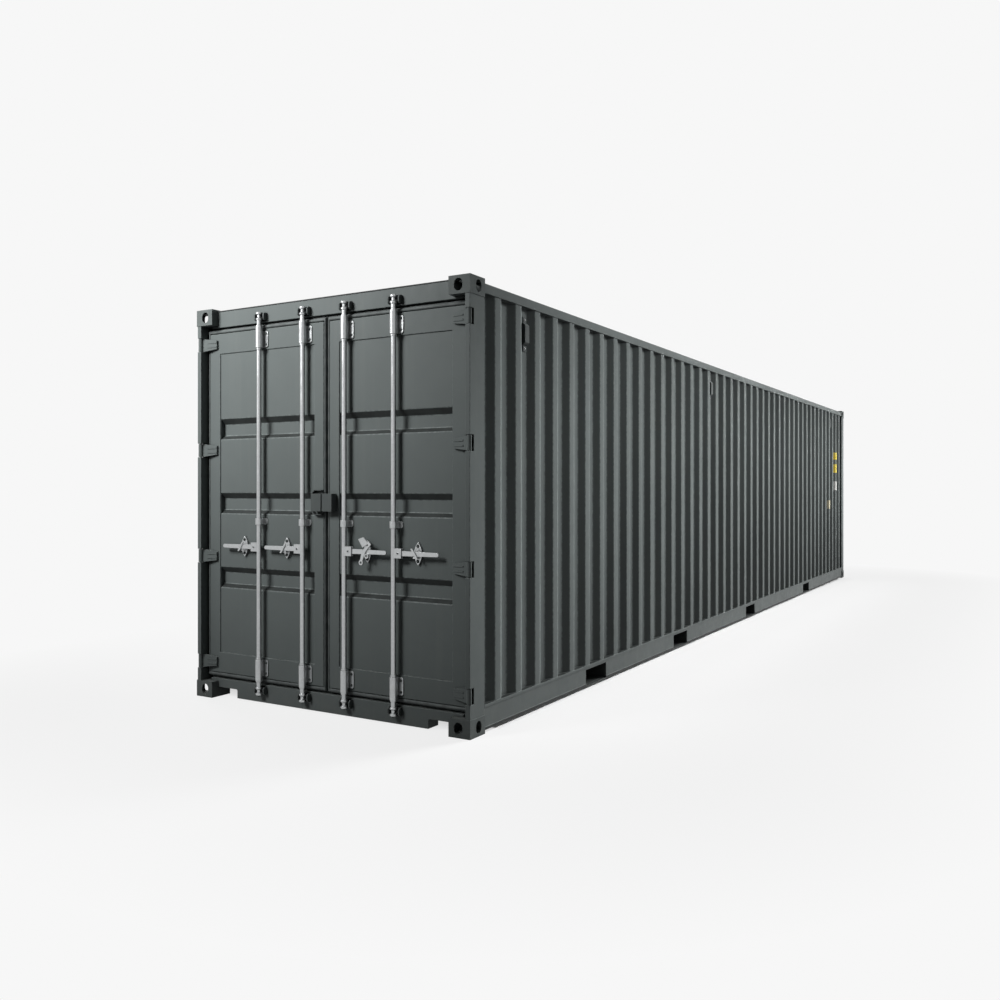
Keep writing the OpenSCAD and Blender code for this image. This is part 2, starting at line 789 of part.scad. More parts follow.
function band_path(z) = [[z - band_h / 2, 0], [z - band_h / 2 + band_lower, band_depth],
    [z + band_h / 2 - band_upper, band_depth], [z + band_h / 2, 0]];

module door_panel() {
    path = concat([[panel_z0, 0]],
        [for (i = [0 : bands - 1]) each band_path(panel_mid + (i - (bands - 1) / 2) * band_pitch)],
        [[panel_z1, 0]]);
    outline = [for (p = sheet_outline(path, sheet)) [door_y + door_v + panel_recess + p[1], p[0]]];
    color(paint) along_x(panel_x0, panel_x1) polygon(outline);
}

module gasket_ring(v0, v1, inset_w, inset_h) {
    difference() {
        block([centre_gap + inset_w, door_y + v0, leaf_z0 - gasket_h + inset_h],
              [leaf_x1 + gasket_w - inset_w, door_y + v1, leaf_z1 + gasket_h - inset_h]);
        block([leaf_x0 - inset_w, door_y, leaf_z0 - inset_h],
              [leaf_x1 + inset_w, 0, leaf_z1 + inset_h]);
    }
}

module door_gasket() {
    bead_w = (gasket_w - gasket_bead) / 2;
    bead_h = (gasket_h - 2 * gasket_bead) / 2;
    v0 = door_v + gasket_bead_h;
    color(rubber) {
        gasket_ring(v0, v0 + gasket_t, 0, 0);
        gasket_ring(door_v, v0 + cut, bead_w, bead_h);
    }
}

// Locking gear, drawn about a rod's axis with the handle towards +X
module at_rod(x) { translate([x, rod_y, 0]) children(); }

module cam() {
    rotate_extrude() polygon([[0, 0], [cam_r - cam_chamfer, 0], [cam_r, cam_chamfer], [cam_r, cam_flange],
        [cam_waist_r, cam_flange + cam_slope], [cam_waist_r, cam_h - cam_flange - cam_slope],
        [cam_r, cam_h - cam_flange], [cam_r, cam_h - cam_chamfer], [cam_r - cam_chamfer, cam_h], [0, cam_h]]);
}

module rod(x) {
    collar_z = bearing_end - collar_gap - collar_h;
    color(zinc) at_rod(x) {
        translate([0, 0, lower_cam_top - cut]) cylinder(r = rod_r, h = upper_cam_z - lower_cam_top + 2 * cut);
        translate([0, 0, upper_cam_z]) cam();
        translate([0, 0, cam_z]) cam();
        at_door_edges() translate([0, 0, collar_z]) cylinder(r = collar_r, h = collar_h);
        clevis();
    }
}

// Drawn for the door's top edge at z = 0, and mirrored for its bottom edge
module at_door_edges() {
    translate([0, 0, leaf_z1]) children();
    translate([0, 0, leaf_z0]) mirror([0, 0, 1]) children();
}

module clevis() {
    for (s = [-1, 1]) {
        y = s * (clevis_half_gap + clevis_t / 2);
        block([0, y - clevis_t / 2, handle_z - clevis_h / 2],
              [clevis_l, y + clevis_t / 2, handle_z + clevis_h / 2]);
    }
    pin_l = clevis_half_gap + clevis_t;
    translate([pivot_x, pin_l, handle_z]) rotate([90, 0, 0])
        cylinder(r = pivot_r, h = 2 * pin_l + pivot_head);
}

module handle_bar() {
    tip_h = handle_tip_h / 2;
    along_y(-handle_t / 2, handle_t / 2) translate([0, handle_z]) {
        translate([pivot_x, 0]) circle(r = handle_h / 2);
        polygon([[pivot_x, -handle_h / 2], [handle_l - ear / 2, -tip_h], [handle_l, ear / 2 - tip_h],
            [handle_l, tip_h - ear / 2], [handle_l - ear / 2, tip_h], [pivot_x, handle_h / 2]]);
    }
}

module handle(x) {
    color(zinc) at_rod(x) difference() {
        union() {
            handle_bar();
            along_y(handle_front, -handle_t / 2) translate([catch_x, handle_z]) children();
        }
        translate([pivot_x, handle_t, handle_z]) rotate([90, 0, 0])
            cylinder(r = pivot_r + running_gap, h = 2 * handle_t);
    }
}

// The slanted link on a handle
module link() {
    polygon([[-catch_w / 2, handle_h], [-catch_w / 2 + ear, handle_h],
        [catch_w / 2, -handle_h], [catch_w / 2 - ear, -handle_h]]);
}

module ring(p, r) {
    translate(p) difference() {
        circle(r = r);
        circle(r = r / 2);
    }
}

// The seal hasp on the right inner handle: a cap on a bent arm with two rings
module hasp() {
    polygon(hasp_cap);
    polygon(hasp_arm);
    for (p = hasp_rings) ring(p, hasp_ring_r);
}

module base_plate(w, h) {
    square([w - 2 * base_corner, h], center = true);
    square([w, h - 2 * base_corner], center = true);
    for (x = [-1, 1], z = [-1, 1])
        translate([x * (w / 2 - base_corner), z * (h / 2 - base_corner)]) circle(r = base_corner);
}

// A base plate at z = 0 and the web that carries a sleeve, with the plate's back at y
module bearing_base(w, h, y) {
    along_y(y - bearing_base_t, y) base_plate(w, h);
    block([-bearing_web / 2, 0, -h / 2], [bearing_web / 2, y, h / 2]);
}

module end_bearing() {
    difference() {
        union() {
            translate([0, 0, bearing_end]) cylinder(r = bearing_r, h = bearing_l);
            translate([0, 0, bearing_reach]) cylinder(r1 = bearing_r, r2 = bore_r + neck_wall, h = neck_l);
            translate([0, 0, -bearing_inset - bearing_base_h / 2])
                bearing_base(bearing_base_w, bearing_base_h, door_v - rod_v);
        }
        translate([0, 0, bearing_end - cut]) cylinder(r = bore_r, h = bearing_l + neck_l + 2 * cut);
    }
}

module rod_guide() {
    difference() {
        union() {
            cylinder_at(0, 0, bearing_r, guide_h);
            bearing_base(guide_base_w, guide_h, door_v + panel_recess - rod_v);
        }
        cylinder_at(0, 0, bore_r, guide_h + 2 * cut);
    }
}

module rod_bearings() {
    color(zinc) for (x = rod_xs) at_rod(x) {
        at_door_edges() end_bearing();
        translate([0, 0, guide_z]) rod_guide();
    }
}

// A pointed oval plate on the door with a ledge under the handle
module handle_catches() {
    y1 = door_v + panel_recess - rod_v;
    y0 = y1 - catch_t - panel_recess;
    arc_r = (catch_h * catch_h + catch_w * catch_w) / (4 * catch_w);
    ledge_top = -handle_h / 2 - ledge_gap;
    color(zinc) for (x = rod_xs) at_rod(x) translate([catch_x, 0, handle_z]) {
        along_y(y0, y1) intersection() {
            translate([arc_r - catch_w / 2, 0]) circle(r = arc_r);
            translate([catch_w / 2 - arc_r, 0]) circle(r = arc_r);
        }
        block([-ledge_w / 2, 0, ledge_top - catch_t], [ledge_w / 2, y0 + cut, ledge_top]);
    }
}

module cam_keepers() {
    back = end_recess - rod_v;
    front = back - keeper_reach;
    color(dark_paint) both_sides() for (x = rod_xs, z = [cam_z, upper_cam_z]) at_rod(x)
        translate([0, 0, z + (cam_h - keeper_h) / 2]) {
            block([-keeper_half - keeper_t, back - keeper_back, 0], [keeper_half + keeper_t, back, keeper_h]);
            both_sides() along_x(keeper_half, keeper_half + keeper_t) polygon([[back, 0],
                [front + keeper_chamfer, 0], [front, keeper_chamfer], [front, keeper_h - keeper_chamfer],
                [front + keeper_chamfer, keeper_h], [back, keeper_h]]);
        }
}

// Lock box, one half on each door, open at the bottom for a padlock
module lock_half() {
    y0 = door_y + door_v - lock_d;
    difference() {
        block([centre_gap, y0, lock_z - lock_h / 2], [lock_w, door_y + door_v, lock_z + lock_h / 2]);
        block([0, y0 + lock_t, lock_z - lock_h / 2 - cut],
              [lock_w - lock_t, 0, lock_z + lock_h / 2 - lock_t]);
    }
}

module lock_box() { color(dark_paint) lock_half(); }

// The guard's outline inside its strip, grown by t
module guard_outline(t) {
    w = lock_w + guard_border - lock_t + t;
    h = lock_h / 2 + guard_border - lock_t + t;
    polygon([[leaf_x0, -h], [w - guard_border, -h], [w, guard_border - h],
        [w, h - guard_border], [w - guard_border, h], [leaf_x0, h]]);
}

module lock_guard() {
    color(dark_paint) {
        lock_half();
        along_y(door_y + door_v - guard_d, door_y + door_v) translate([0, lock_z]) difference() {
            guard_outline(lock_t);
            guard_outline(0);
        }
    }
}

top_castings();
bottom_castings();
left() door_post();  // door_post_left
door_post();  // door_post_right
front_posts();
door_header();
door_sill();
front_header();
front_sill();
left() top_rail();  // top_rail_left
top_rail();  // top_rail_right
left() bottom_rail();  // bottom_rail_left
bottom_rail();  // bottom_rail_right
left() side_wall();  // side_wall_left
side_wall();  // side_wall_right
front_wall();
roof();
floor_boards();  // floor
crossmembers();
fork_pockets();
hinge_lugs();
cam_keepers();
vents();
left() door_frame();  // left_door_frame
left() door_panel();  // left_door_panel
left() door_gasket();  // left_door_gasket
left() door_hinges();  // left_door_hinges
left() rod_bearings();  // left_rod_bearings
left() handle_catches();  // left_handle_catches
left() lock_guard();  // left_lock_guard
door_frame();  // right_door_frame
door_panel();  // right_door_panel
door_gasket();  // right_door_gasket
door_hinges();  // right_door_hinges
rod_bearings();  // right_rod_bearings
handle_catches();  // right_handle_catches
lock_box();  // right_lock_box
left() rod(rod_outer_x);  // rod_left_outer
left() rod(rod_inner_x);  // rod_left_inner
rod(rod_inner_x);  // rod_right_inner
rod(rod_outer_x);  // rod_right_outer
left() handle(rod_outer_x) link();  // handle_left_outer
left() handle(rod_inner_x) link();  // handle_left_inner
handle(rod_inner_x) hasp();  // handle_right_inner
handle(rod_outer_x) link();  // handle_right_outer
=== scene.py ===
"""Forty-foot high-cube freight container: finishes, small parts, light and camera. Metres."""
import bmesh
import bpy
import json
import math
from collections import namedtuple
from mathutils import Matrix, Vector
from mathutils.bvhtree import BVHTree

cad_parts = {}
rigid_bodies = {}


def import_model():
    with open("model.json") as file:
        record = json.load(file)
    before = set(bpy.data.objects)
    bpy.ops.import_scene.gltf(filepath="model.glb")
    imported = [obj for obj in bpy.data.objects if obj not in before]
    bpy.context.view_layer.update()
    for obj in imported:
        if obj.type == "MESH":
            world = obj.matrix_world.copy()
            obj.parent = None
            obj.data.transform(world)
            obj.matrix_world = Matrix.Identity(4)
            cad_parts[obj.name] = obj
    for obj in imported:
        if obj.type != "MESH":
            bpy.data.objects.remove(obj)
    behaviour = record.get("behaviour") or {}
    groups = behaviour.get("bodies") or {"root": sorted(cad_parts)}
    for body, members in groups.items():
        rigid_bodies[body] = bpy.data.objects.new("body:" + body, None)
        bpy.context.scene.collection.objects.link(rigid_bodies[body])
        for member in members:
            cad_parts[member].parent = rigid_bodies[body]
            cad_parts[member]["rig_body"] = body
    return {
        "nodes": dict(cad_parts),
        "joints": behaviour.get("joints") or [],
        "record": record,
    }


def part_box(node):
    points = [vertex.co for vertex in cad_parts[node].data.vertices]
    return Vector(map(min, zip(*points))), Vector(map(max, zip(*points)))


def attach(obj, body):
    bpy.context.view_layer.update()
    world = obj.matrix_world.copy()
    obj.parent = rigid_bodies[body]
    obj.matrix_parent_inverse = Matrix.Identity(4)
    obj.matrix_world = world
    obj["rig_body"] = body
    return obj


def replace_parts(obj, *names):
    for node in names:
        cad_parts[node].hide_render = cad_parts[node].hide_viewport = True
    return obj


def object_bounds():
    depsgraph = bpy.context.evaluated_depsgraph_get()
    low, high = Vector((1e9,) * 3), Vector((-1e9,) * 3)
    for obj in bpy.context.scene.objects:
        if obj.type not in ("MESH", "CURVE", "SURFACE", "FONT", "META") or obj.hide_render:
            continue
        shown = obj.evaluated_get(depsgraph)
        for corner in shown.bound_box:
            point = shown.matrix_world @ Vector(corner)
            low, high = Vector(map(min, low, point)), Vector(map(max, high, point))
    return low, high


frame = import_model()
CAD_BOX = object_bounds()
NODES = frame["nodes"]
JOINTS = {joint["name"]: joint for joint in frame["joints"]}
SLOTS = {row["node"]: row["material_slot"] for row in frame["record"]["subparts"]}
LOW, HIGH = CAD_BOX
SIDES = (("left", -1), ("right", 1))

# Directions, and how far outside the container a ray starts
UP = Vector((0, 0, 1))
FORWARD = Vector((0, 1, 0))
OUT_OF_DOORS = Vector((0, -1, 0))
RAY_START = 1.0

# The photograph's camera
CAMERA_PLACE = (4.303, -10.949, 1.566)
CAMERA_TURN_DEG = 30.59
LEVEL_DEG = 90.0
LENS_MM = 33.39
SENSOR_MM = 36.0
SHIFT_UP = -0.0124

# Colours, as linear light
PAINT = (0.110, 0.125, 0.123)
DARK_PAINT = (0.075, 0.085, 0.084)
CAST_PAINT = (0.100, 0.113, 0.111)
ZINC = (0.43, 0.443, 0.447)
# A lighter copy of the zinc, painted light on handles and catches
LIGHTENED_ZINC = (0.45, 0.464, 0.468)
RUBBER = (0.080, 0.090, 0.089)
# A near-black for a bead of painted shade along the door header's top edge
SHADE_BEAD_COLOUR = (0.020, 0.022, 0.022)
PLYWOOD = (0.30, 0.19, 0.105)
SCUFFED_WOOD = (0.22, 0.19, 0.16)
DUST = (0.30, 0.30, 0.28)
YELLOW_FILM = (0.80, 0.62, 0.03)
PALE_FILM = (0.60, 0.60, 0.58)
BUFF_FILM = (0.50, 0.45, 0.30)
BACKGROUND = (0.93, 0.93, 0.93)
FLOOR_BOUNCE = (0.07, 0.07, 0.07)

# The colour sockets of a mix node, which share their names with its other sockets
MIX_A = 6
MIX_B = 7
MIX_RESULT = 2


# Shader graphs
class Tree:
    """A node tree and short ways to add nodes to it."""

    def __init__(self, tree):
        self.tree = tree

    def put(self, socket, value):
        """Links a socket to another node's output, or gives it a value."""
        if isinstance(value, bpy.types.NodeSocket):
            self.tree.links.new(value, socket)
        elif socket.type == "RGBA" and len(value) == 3:
            socket.default_value = (*value, 1.0)
        else:
            socket.default_value = value

    def add(self, kind, sockets=None, **settings):
        """A new node with its settings and its inputs, which go by name or number."""
        node = self.tree.nodes.new(kind)
        for name, value in settings.items():
            setattr(node, name, value)
        for name, value in (sockets or {}).items():
            self.put(node.inputs[name], value)
        return node

    def math(self, operation, a, b):
        """A sum, a product or the like of two values."""
        return self.add("ShaderNodeMath", {0: a, 1: b}, operation=operation).outputs[0]

    def vector(self, operation, a, b=(0.0, 0.0, 0.0), out="Vector"):
        """The same for two vectors, or for the first alone."""
        return self.add("ShaderNodeVectorMath", {0: a, 1: b}, operation=operation).outputs[out]

    def both(self, a, b):
        """The product of two masks, which is one only where both are."""
        return self.math("MULTIPLY", a, b)

    def span(self, value, low, high, to_low=0.0, to_high=1.0):
        """A value moved from the range low to high into another range, and held inside it."""
        node = self.add("ShaderNodeMapRange", {
            "Value": value, "From Min": low, "From Max": high, "To Min": to_low, "To Max": to_high})
        return node.outputs["Result"]

    def choose(self, share, a, b):
        """A mix of the shaders of two nodes."""
        return self.add("ShaderNodeMixShader", {"Fac": share, 1: a.outputs[0], 2: b.outputs[0]})


class Graph(Tree):
    """The tree of a new material, with the patterns that finishes are made of."""

    def __init__(self, name):
        self.material = bpy.data.materials.new(name)
        self.material.use_nodes = True
        super().__init__(self.material.node_tree)
        self.shader = self.tree.nodes["Principled BSDF"]
        self.place = self.add("ShaderNodeTexCoord").outputs["Object"]

    def noise(self, scale, detail, stretch=(1, 1, 1), roughness=0.55):
        """Cloudy values, finer with a larger scale, and drawn out where stretch is small."""
        spread = self.add("ShaderNodeMapping", {"Vector": self.place, "Scale": stretch})
        node = self.add("ShaderNodeTexNoise", {
            "Vector": spread.outputs["Vector"], "Scale": scale, "Detail": detail, "Roughness": roughness})
        return node.outputs["Fac"]

    def patches(self, scale, detail, low, high, to_low=0.0, to_high=1.0, **more):
        """Noise with its values from low to high spread over a range."""
        return self.span(self.noise(scale, detail, **more), low, high, to_low, to_high)

    def mix(self, share, a, b):
        """A mix of two colours."""
        node = self.add("ShaderNodeMix", {"Factor": share, MIX_A: a, MIX_B: b}, data_type="RGBA")
        return node.outputs[MIX_RESULT]

    def layer(self, body, mask, share, colour):
        """A colour over the body's colour, as strong as share where the mask is one."""
        return self.mix(self.both(mask, share), body, colour)

    def bump(self, height, distance, strength=1.0, under=None):
        """A normal that leans with a height, over the normal of another bump where there is one."""
        sockets = {"Height": height, "Distance": distance, "Strength": strength}
        if under is not None:
            sockets["Normal"] = under
        return self.add("ShaderNodeBump", sockets).outputs["Normal"]

    def upward(self):
        """One on level faces that look up."""
        normal = self.add("ShaderNodeNewGeometry").outputs["Normal"]
        return self.add("ShaderNodeSeparateXYZ", {"Vector": normal}).outputs["Z"]

    def height(self):
        """Height above the ground."""
        return self.add("ShaderNodeSeparateXYZ", {"Vector": self.place}).outputs["Z"]

    def occlusion_shade(self, reach):
        """One in corners and close behind other parts, where shade falls, and nought in the open: the mask
        of painted shade.
        """
        node = self.add("ShaderNodeAmbientOcclusion", {"Distance": reach}, samples=8)
        return self.math("SUBTRACT", 1.0, node.outputs["AO"])

    def mark(self, name):
        """A value that the mesh keeps for each face."""
        return self.add("ShaderNodeAttribute", attribute_name=name).outputs["Fac"]

    def finish(self, colour, roughness, normal, metallic=0.0, specular=0.12):
        """The material, once its surface is set."""
        self.put(self.shader.inputs["Base Color"], colour)
        self.put(self.shader.inputs["Roughness"], roughness)
        self.put(self.shader.inputs["Normal"], normal)
        self.put(self.shader.inputs["Metallic"], metallic)
        self.put(self.shader.inputs["Specular IOR Level"], specular)
        return self.material


def tint(colour, factor):
    """A colour made darker or lighter."""
    return tuple(c * factor for c in colour)


# Finishes: height of the splashed band, and how rain streaks and wood grain are drawn out
SPLASH_TOP = 0.32
RAIN_STRETCH = (1, 1, 0.035)
GRAIN_STRETCH = (1, 0.05, 1)


def painted_steel(name, colour, peel=0.00025, rough=0.46):
    """Sprayed paint: drift, rain streaks, dust on ledges, painted shade on marked faces and in corners,
    rubbed edges with a painted highlight, and orange peel.
    """
    graph = Graph(name)
    drift = graph.patches(scale=0.9, detail=2.0, low=0.3, high=0.7)
    body = graph.mix(drift, tint(colour, 0.93), tint(colour, 1.07))
    dark = graph.patches(scale=7.0, detail=4.0, low=0.35, high=0.75)
    body = graph.layer(body, dark, share=0.22, colour=tint(colour, 0.82))
    rain = graph.patches(scale=16.0, detail=3.0, low=0.54, high=0.78, stretch=RAIN_STRETCH)
    body = graph.layer(body, rain, share=0.06, colour=tint(DUST, 0.8))
    dust = graph.patches(scale=24.0, detail=4.0, low=0.3, high=0.7)
    ledges = graph.span(graph.upward(), low=0.55, high=1.0)
    body = graph.layer(body, graph.both(ledges, dust), share=0.30, colour=DUST)
    mud = graph.patches(scale=11.0, detail=5.0, low=0.35, high=0.7)
    splashed = graph.span(graph.height(), low=SPLASH_TOP, high=0.0)
    body = graph.layer(body, graph.both(splashed, mud), share=0.22, colour=tint(DUST, 0.55))
    # Painted shade: marked faces are darkened nearly to black, standing in for the shade on band slopes and
    # on level rail and pocket faces
    marked_shade_patches = graph.patches(scale=9.0, detail=4.0, low=0.2, high=0.7, to_low=0.75)
    body = graph.layer(body, graph.both(graph.mark("painted_shade"), marked_shade_patches), share=0.9, colour=tint(colour, 0.12))
    # Painted shade in corners and close behind other parts
    corner_shade_patches = graph.patches(scale=30.0, detail=4.0, low=0.2, high=0.7, to_low=0.6)
    corners = graph.span(graph.occlusion_shade(reach=0.06), low=0.2, high=0.9)
    body = graph.layer(body, graph.both(corners, corner_shade_patches), share=0.7, colour=tint(colour, 0.2))
    # Edges lighter for wear, and for a painted highlight along them
    worn_and_lit = graph.patches(scale=38.0, detail=4.0, low=0.42, high=0.62)
    edges = graph.both(graph.mark("edge_wear_and_highlight"), worn_and_lit)
    body = graph.layer(body, edges, share=0.35, colour=tint(colour, 2.1))
    shine = graph.patches(scale=13.0, detail=4.0, low=0.3, high=0.75,
                          to_low=rough - 0.06, to_high=rough + 0.10)
    grain = graph.bump(graph.noise(scale=420.0, detail=2.0), distance=peel)
    waves = graph.bump(graph.noise(scale=2.6, detail=2.0), distance=0.0020, strength=0.35, under=grain)
    return graph.finish(body, shine, waves)


def galvanised_steel(name, colour):
    """Zinc: spangled grey with dull patches, painted shade in corners, and rubbed edges with a painted
    highlight.
    """
    graph = Graph(name)
    flakes = graph.add("ShaderNodeTexVoronoi", {"Vector": graph.place, "Scale": 85.0, "Randomness": 1.0})
    flake = graph.add("ShaderNodeSeparateColor", {"Color": flakes.outputs["Color"]}).outputs["Red"]
    body = graph.mix(flake, tint(colour, 0.94), tint(colour, 1.06))
    dull = graph.patches(scale=19.0, detail=5.0, low=0.40, high=0.72)
    body = graph.layer(body, dull, share=0.25, colour=tint(colour, 0.75))
    # Painted shade in corners and close behind other parts
    corner_shade_patches = graph.patches(scale=50.0, detail=4.0, low=0.2, high=0.7, to_low=0.6)
    corners = graph.span(graph.occlusion_shade(reach=0.025), low=0.15, high=0.75)
    body = graph.layer(body, graph.both(corners, corner_shade_patches), share=0.8, colour=tint(colour, 0.15))
    # Edges lighter for wear, and for a painted highlight along them
    worn_and_lit = graph.patches(scale=60.0, detail=3.0, low=0.40, high=0.60)
    edges = graph.both(graph.mark("edge_wear_and_highlight"), worn_and_lit)
    body = graph.layer(body, edges, share=0.7, colour=tint(colour, 1.5))
    shine = graph.span(dull, low=0.0, high=1.0, to_low=0.28, to_high=0.46)
    pits = graph.bump(graph.noise(scale=260.0, detail=3.0), distance=0.0004)
    return graph.finish(body, shine, pits, metallic=0.85, specular=0.4)


def seal_rubber(name, colour):
    """Rubber with a pale bloom in patches."""
    graph = Graph(name)
    bloom = graph.patches(scale=14.0, detail=5.0, low=0.35, high=0.7)
    body = graph.mix(bloom, tint(colour, 0.85), tint(colour, 1.35))
    shine = graph.patches(scale=40.0, detail=3.0, low=0.3, high=0.7, to_low=0.55, to_high=0.75)
    grain = graph.bump(graph.noise(scale=300.0, detail=2.0), distance=0.0003)
    return graph.finish(body, shine, grain, specular=0.3)


def floor_plywood(name):
    """Hardwood plywood: long grain along the boards, and scuffs."""
    graph = Graph(name)
    grain = graph.patches(scale=26.0, detail=6.0, low=0.3, high=0.72,
                          stretch=GRAIN_STRETCH, roughness=0.65)
    body = graph.mix(grain, tint(PLYWOOD, 0.62), tint(PLYWOOD, 1.18))
    scuff = graph.patches(scale=5.0, detail=6.0, low=0.45, high=0.75)
    body = graph.layer(body, scuff, share=0.35, colour=SCUFFED_WOOD)
    shine = graph.span(scuff, low=0.0, high=1.0, to_low=0.45, to_high=0.75)
    return graph.finish(body, shine, graph.bump(grain, distance=0.0008), specular=0.3)


def blank_film(name, colour):
    """Sun-bleached plastic film with nothing printed on it."""
    graph = Graph(name)
    bleach = graph.patches(scale=12.0, detail=4.0, low=0.3, high=0.75)
    body = graph.layer(colour, bleach, share=0.25, colour=tint(DUST, 1.6))
    scuff = graph.patches(scale=45.0, detail=5.0, low=0.5, high=0.75)
    body = graph.layer(body, scuff, share=0.3, colour=tint(colour, 0.6))
    shine = graph.span(scuff, low=0.0, high=1.0, to_low=0.35, to_high=0.6)
    return graph.finish(body, shine, graph.bump(scuff, distance=0.0003), specular=0.3)


# The finish of each material slot, and a lighter copy of the zinc for handles and catches, painted light
# where the lamps fall weakly on them
MATERIALS = {
    "paint": painted_steel("container_paint", PAINT),
    "dark_paint": painted_steel("hardware_paint", DARK_PAINT, peel=0.0003, rough=0.42),
    "castings": painted_steel("casting_paint", CAST_PAINT, peel=0.0009, rough=0.52),
    "galvanised": galvanised_steel("galvanised_steel", ZINC),
    "rubber": seal_rubber("door_seal_rubber", RUBBER),
    "plywood": floor_plywood("floor_plywood"),
    "vent": painted_steel("vent_plastic", DARK_PAINT, peel=0.0002, rough=0.38),
}
LIGHTENED_HANDLE_FINISH = galvanised_steel("zinc_painted_lighter", LIGHTENED_ZINC)

# Vertices nearer than this are joined, faces that turn less are joined, edges that turn more stay sharp
JOIN_DISTANCE = 2e-5
FLAT_DEG = 1.0
SHARP_DEG = 35.0


# Pieces
def finished(bm, name, material):
    """The object of a mesh, smooth but for its sharp edges."""
    mesh = bpy.data.meshes.new(name)
    bmesh.ops.recalc_face_normals(bm, faces=bm.faces)
    bm.to_mesh(mesh)
    bm.free()
    for face in mesh.polygons:
        face.use_smooth = True
    mesh.set_sharp_from_angle(angle=math.radians(SHARP_DEG))
    mesh.materials.append(material)
    obj = bpy.data.objects.new(name, mesh)
    bpy.context.scene.collection.objects.link(obj)
    return obj


def piece(name, bm, body, slot, material=None):
    """A mesh that rides on a body and takes the finish of a slot, or a material of its own."""
    obj = finished(bm, name, material or MATERIALS[slot])
    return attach(obj, body)


def node_mesh(node):
    """An editable copy of a CAD node's mesh, with its faces joined at their edges."""
    bm = bmesh.new()
    bm.from_mesh(NODES[node].data)
    bmesh.ops.remove_doubles(bm, verts=bm.verts, dist=JOIN_DISTANCE)
    return bm


def islands(node):
    """The boxes of a CAD node's separate solids, as (lowest corner, highest corner)."""
    bm = node_mesh(node)
    boxes, waiting = [], set(bm.verts)
    while waiting:
        group, reach = [], [waiting.pop()]
        while reach:
            vert = reach.pop()
            group.append(vert.co.copy())
            near = {edge.other_vert(vert) for edge in vert.link_edges} & waiting
            waiting -= near
            reach.extend(near)
        boxes.append(tuple(Vector(pick(axis) for axis in zip(*group)) for pick in (min, max)))
    bm.free()
    return boxes


def skin(node):
    """A CAD node's surface, to be found by rays."""
    mesh = NODES[node].data
    return BVHTree.FromPolygons([v.co for v in mesh.vertices], [p.vertices for p in mesh.polygons])


def bead(bm, points, radius, across, sides=6):
    """A round bead along points. across is a direction that no stretch of it follows."""
    points = [Vector(p) for p in points]
    rings = []
    for i, point in enumerate(points):
        ahead = (points[min(i + 1, len(points) - 1)] - points[max(i - 1, 0)]).normalized()
        side = ahead.cross(across).normalized()
        lift = side.cross(ahead)
        turns = [2 * math.pi * k / sides for k in range(sides)]
        rings.append([bm.verts.new(point + radius * (math.cos(a) * side + math.sin(a) * lift))
                      for a in turns])
    for a, b in zip(rings, rings[1:]):
        for k in range(sides):
            bm.faces.new((a[k], a[k - 1], b[k - 1], b[k]))
    for ring in (rings[0], rings[-1]):
        bm.faces.new(ring)


# Rounded edges: radius, segments, and the least and greatest turn of the edges that are rounded
Rounding = namedtuple("Rounding", "radius segments low_deg high_deg")
CAST = Rounding(0.005, 3, 40.0, 180.0)
FORMED = Rounding(0.004, 3, 40.0, 180.0)
FORGED = Rounding(0.003, 2, 30.0, 180.0)
TURNED = Rounding(0.0015, 2, 30.0, 180.0)
BENT = Rounding(0.009, 2, 12.0, 70.0)
PRESSED = Rounding(0.005, 2, 12.0, 70.0)

# Faces with painted shade: the least and greatest share by which their normals lean up or down, and the
# height just over the lower strip of the bottom rails, up to which these rails take painted shade
NO_PAINTED_SHADE = (2.0, 2.0)
LEVEL_PAINTED_SHADE = (0.9, 1.1)
SLOPES_PAINTED_SHADE = (0.3, 0.95)
RAIL_FOOT_Z = 0.041


def rounded(node, rounding, shade_leans=NO_PAINTED_SHADE, shade_to=0.0, material=None):
    """A copy of a CAD node with its edges rounded, which stands for the node.

    Painted shade lies on faces whose normals lean up or down by a share within the given range, and on all
    faces up to the given height.
    """
    bm = node_mesh(node)
    wear_and_highlight = bm.faces.layers.float.new("edge_wear_and_highlight")
    painted_shade = bm.faces.layers.float.new("painted_shade")
    bmesh.ops.dissolve_limit(bm, angle_limit=math.radians(FLAT_DEG), verts=bm.verts, edges=bm.edges)
    for face in bm.faces:
        leans = shade_leans[0] < abs(face.normal.z) < shade_leans[1]
        face[painted_shade] = float(leans or face.calc_center_median().z < shade_to)
    chosen = [e for e in bm.edges if len(e.link_faces) == 2
              and rounding.low_deg <= math.degrees(e.calc_face_angle()) <= rounding.high_deg]
    made = bmesh.ops.bevel(bm, geom=chosen, offset=rounding.radius, offset_type="OFFSET",
                           segments=rounding.segments, profile=0.5, affect="EDGES", clamp_overlap=True)
    # Rounded faces take the mark of worn edges with their painted highlight, and no painted shade
    for face in made["faces"]:
        face[wear_and_highlight] = 1.0
        face[painted_shade] = 0.0
    bmesh.ops.dissolve_degenerate(bm, dist=JOIN_DISTANCE, edges=bm.edges)
    obj = piece(node + "_shell", bm, NODES[node]["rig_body"], SLOTS[node], material)
    flat = obj.modifiers.new("flat_faces", "WEIGHTED_NORMAL")
    flat.keep_sharp = True
    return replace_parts(obj, node)


for name in ("top_castings", "bottom_castings"):
    rounded(name, CAST)
for name in ("door_post_left", "door_post_right", "front_posts", "door_header", "door_sill",
             "front_header", "front_sill", "top_rail_left", "top_rail_right",
             "left_door_frame", "right_door_frame"):
    rounded(name, FORMED)
